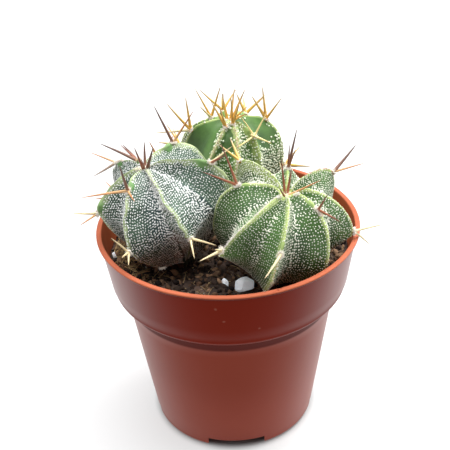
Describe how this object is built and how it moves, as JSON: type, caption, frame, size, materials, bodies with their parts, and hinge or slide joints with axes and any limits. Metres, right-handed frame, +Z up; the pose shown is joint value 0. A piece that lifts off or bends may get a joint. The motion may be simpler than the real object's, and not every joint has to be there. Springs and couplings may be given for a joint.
{
  "type": "potted cactus",
  "caption": "Small ribbed cacti with spines, standing together in dark soil in a tapered round plastic nursery pot with a wide collar and a rim lip.",
  "frame": {"origin": "middle of the pot's foot, on the surface that the pot stands on", "axes": "+Z up along the pot's axis, -Y towards the side seen in the picture, +X to the right of it"},
  "size_m": [0.0952, 0.0948, 0.1117],
  "materials": {
    "pot": "satin",
    "soil": "matte",
    "flesh_green": "satin",
    "flesh_grey": "matte",
    "flesh_bright": "satin",
    "perlite": "matte"
  },
  "bodies": {
    "root": {"pot": "pot", "soil": "soil", "cactus_right": "flesh_green", "cactus_left": "flesh_grey", "cactus_back": "flesh_bright", "perlite_large": "perlite", "perlite_small": "perlite", "perlite_left": "perlite"}
  },
  "joints": []
}
